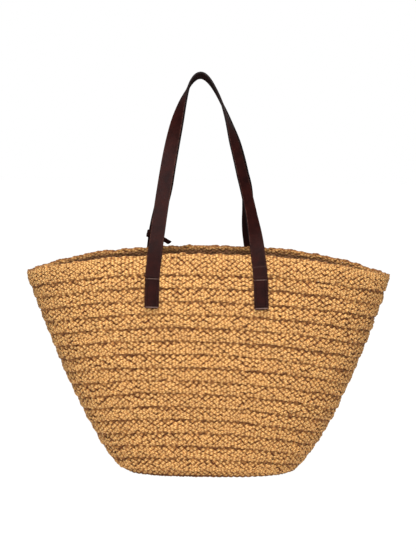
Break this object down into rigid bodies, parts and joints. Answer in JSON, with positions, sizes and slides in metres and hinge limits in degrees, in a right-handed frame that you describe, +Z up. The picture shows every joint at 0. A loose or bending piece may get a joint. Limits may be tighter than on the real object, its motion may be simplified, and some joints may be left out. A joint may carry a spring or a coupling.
{
  "type": "beach bag",
  "caption": "Wide market-basket beach bag of lapped fibre plait on a flat oval base, with two long leather shoulder straps that fold down outside.",
  "frame": {"origin": "middle of the base, on the surface the bag stands on", "axes": "+X along the bag's width, -Y is the front, +Z up"},
  "size_m": [0.5426, 0.1672, 0.5984],
  "materials": {
    "plait": "matte natural fibre plait",
    "strap_leather": "smooth, semi-gloss",
    "backing_leather": "matte flesh side",
    "thread": "waxed thread"
  },
  "bodies": {
    "root": {"base_round_1": "plait", "base_round_2": "plait", "base_round_3": "plait", "base_edge": "plait", "course_01": "plait", "course_02": "plait", "course_03": "plait", "course_04": "plait", "course_05": "plait", "course_06": "plait", "course_07": "plait", "course_08": "plait", "course_09": "plait", "course_10": "plait", "course_11": "plait", "course_12": "plait", "course_13": "plait", "course_14": "plait", "course_15": "plait", "rim_course": "plait", "front_left_tab": "strap_leather", "front_right_tab": "strap_leather", "rear_left_tab": "strap_leather", "rear_right_tab": "strap_leather", "front_left_backing": "backing_leather", "front_right_backing": "backing_leather", "rear_left_backing": "backing_leather", "rear_right_backing": "backing_leather", "front_left_stitching": "thread", "front_right_stitching": "thread", "rear_left_stitching": "thread", "rear_right_stitching": "thread"},
    "front_strap": {"front_strap": "strap_leather"},
    "rear_strap": {"rear_strap": "strap_leather", "strap_lace": "strap_leather"}
  },
  "joints": [
    {"name": "front_strap_fold", "type": "hinge", "parent": "root", "child": "front_strap", "pos_m": [0, -0.0826, 0.303], "axis": [1, 0, 0], "range_deg": [0, 160]},
    {"name": "rear_strap_fold", "type": "hinge", "parent": "root", "child": "rear_strap", "pos_m": [0, 0.0826, 0.303], "axis": [-1, 0, 0], "range_deg": [0, 160]}
  ]
}
